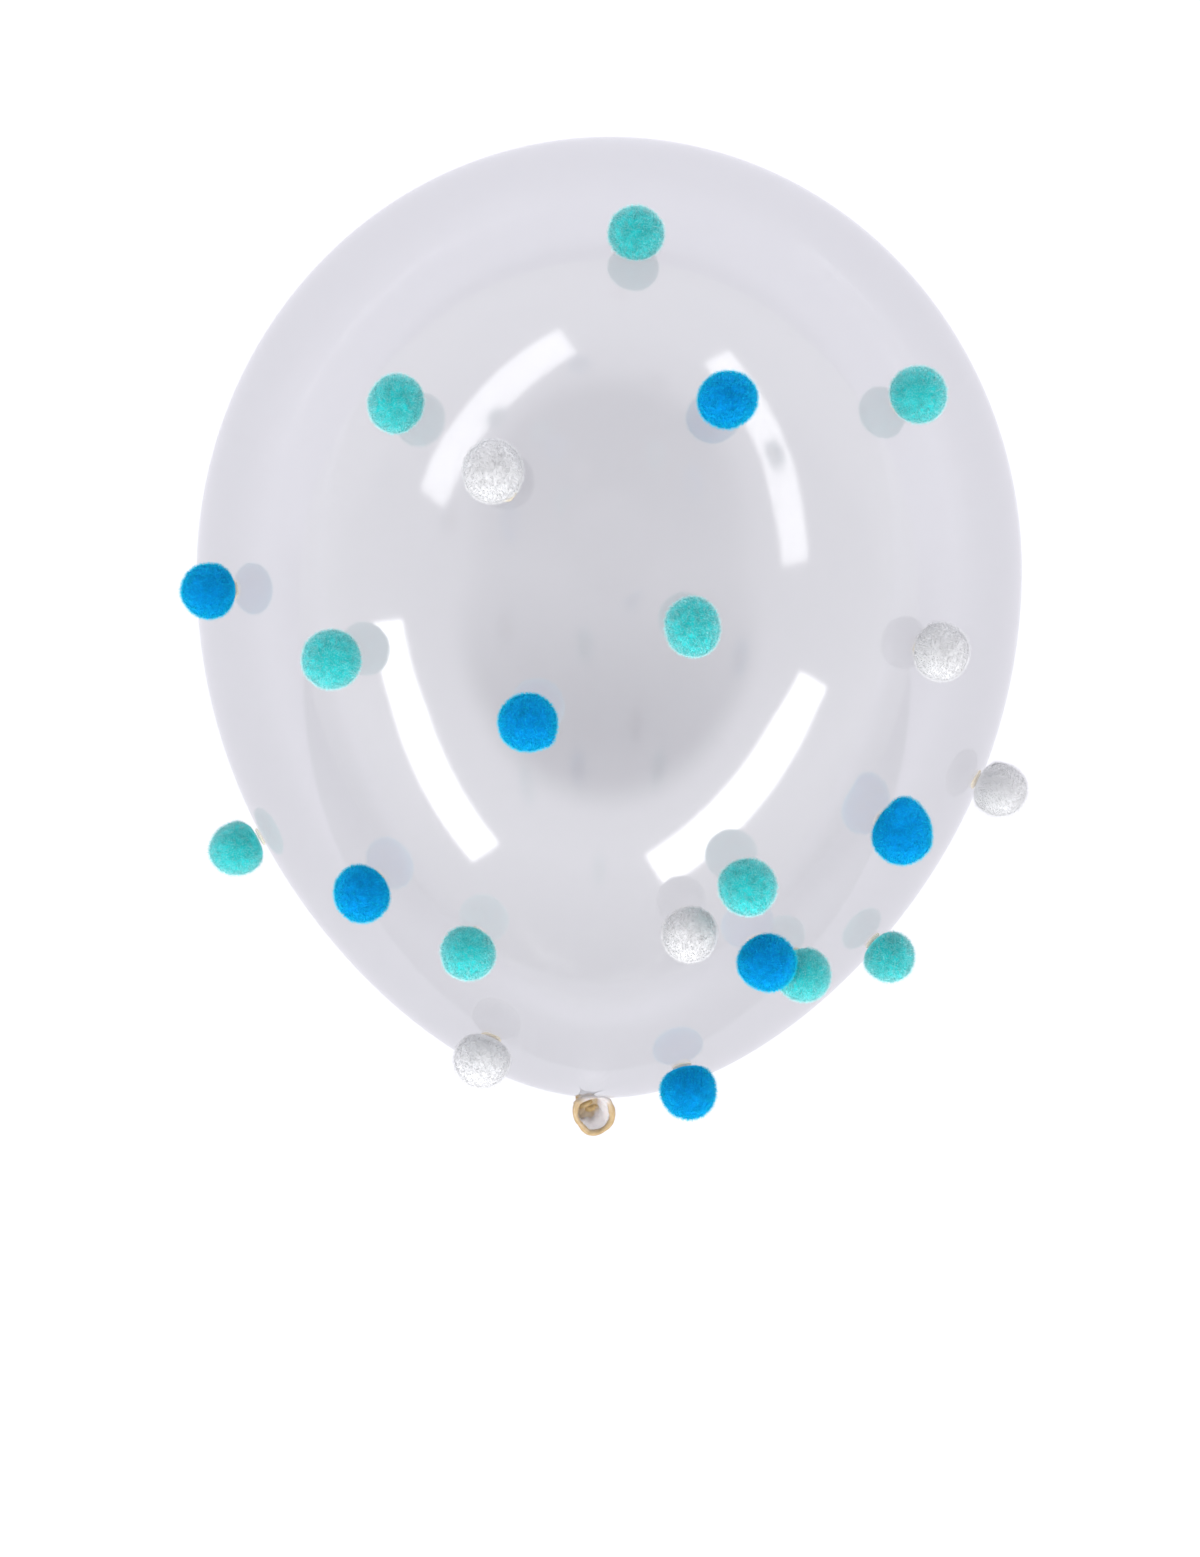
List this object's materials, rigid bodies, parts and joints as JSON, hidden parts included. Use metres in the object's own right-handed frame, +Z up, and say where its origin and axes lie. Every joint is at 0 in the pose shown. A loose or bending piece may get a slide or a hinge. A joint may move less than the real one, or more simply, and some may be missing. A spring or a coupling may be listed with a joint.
{
  "type": "clear latex party balloon with glued pom-poms",
  "caption": "Blown-up, tied clear latex balloon with soft craft pom-poms glued over one side, lying loose on its balance point as a party decoration.",
  "frame": {"origin": "centre of the small flat on the film's underside, where it touches the surface it lies on", "axes": "+Z up, +Y from the neck towards the crown, +X to the right as seen from the neck end"},
  "size_m": [0.3007, 0.3784, 0.3151],
  "materials": {
    "clear_latex": "clear stretched latex, glossy, faintly grey; amber where it is thick at the knot and tail",
    "teal_pompom": "fuzzy acrylic fibre, teal",
    "blue_pompom": "fuzzy acrylic fibre, bright blue",
    "white_pompom": "fuzzy acrylic fibre, white",
    "amber_glue": "set hot glue, translucent amber"
  },
  "bodies": {
    "root": {"balloon": "clear_latex", "pompom_teal_1": "teal_pompom", "pompom_teal_2": "teal_pompom", "pompom_teal_3": "teal_pompom", "pompom_teal_4": "teal_pompom", "pompom_teal_5": "teal_pompom", "pompom_teal_6": "teal_pompom", "pompom_teal_7": "teal_pompom", "pompom_teal_8": "teal_pompom", "pompom_teal_9": "teal_pompom", "pompom_teal_10": "teal_pompom", "pompom_blue_1": "blue_pompom", "pompom_blue_2": "blue_pompom", "pompom_blue_3": "blue_pompom", "pompom_blue_4": "blue_pompom", "pompom_blue_5": "blue_pompom", "pompom_blue_6": "blue_pompom", "pompom_blue_7": "blue_pompom", "pompom_white_1": "white_pompom", "pompom_white_2": "white_pompom", "pompom_white_3": "white_pompom", "pompom_white_4": "white_pompom", "pompom_white_5": "white_pompom", "glue_dot_teal_1": "amber_glue", "glue_dot_teal_2": "amber_glue", "glue_dot_teal_3": "amber_glue", "glue_dot_teal_4": "amber_glue", "glue_dot_teal_5": "amber_glue", "glue_dot_teal_6": "amber_glue", "glue_dot_teal_7": "amber_glue", "glue_dot_teal_8": "amber_glue", "glue_dot_teal_9": "amber_glue", "glue_dot_teal_10": "amber_glue", "glue_dot_blue_1": "amber_glue", "glue_dot_blue_2": "amber_glue", "glue_dot_blue_3": "amber_glue", "glue_dot_blue_4": "amber_glue", "glue_dot_blue_5": "amber_glue", "glue_dot_blue_6": "amber_glue", "glue_dot_blue_7": "amber_glue", "glue_dot_white_1": "amber_glue", "glue_dot_white_2": "amber_glue", "glue_dot_white_3": "amber_glue", "glue_dot_white_4": "amber_glue", "glue_dot_white_5": "amber_glue"}
  },
  "joints": []
}
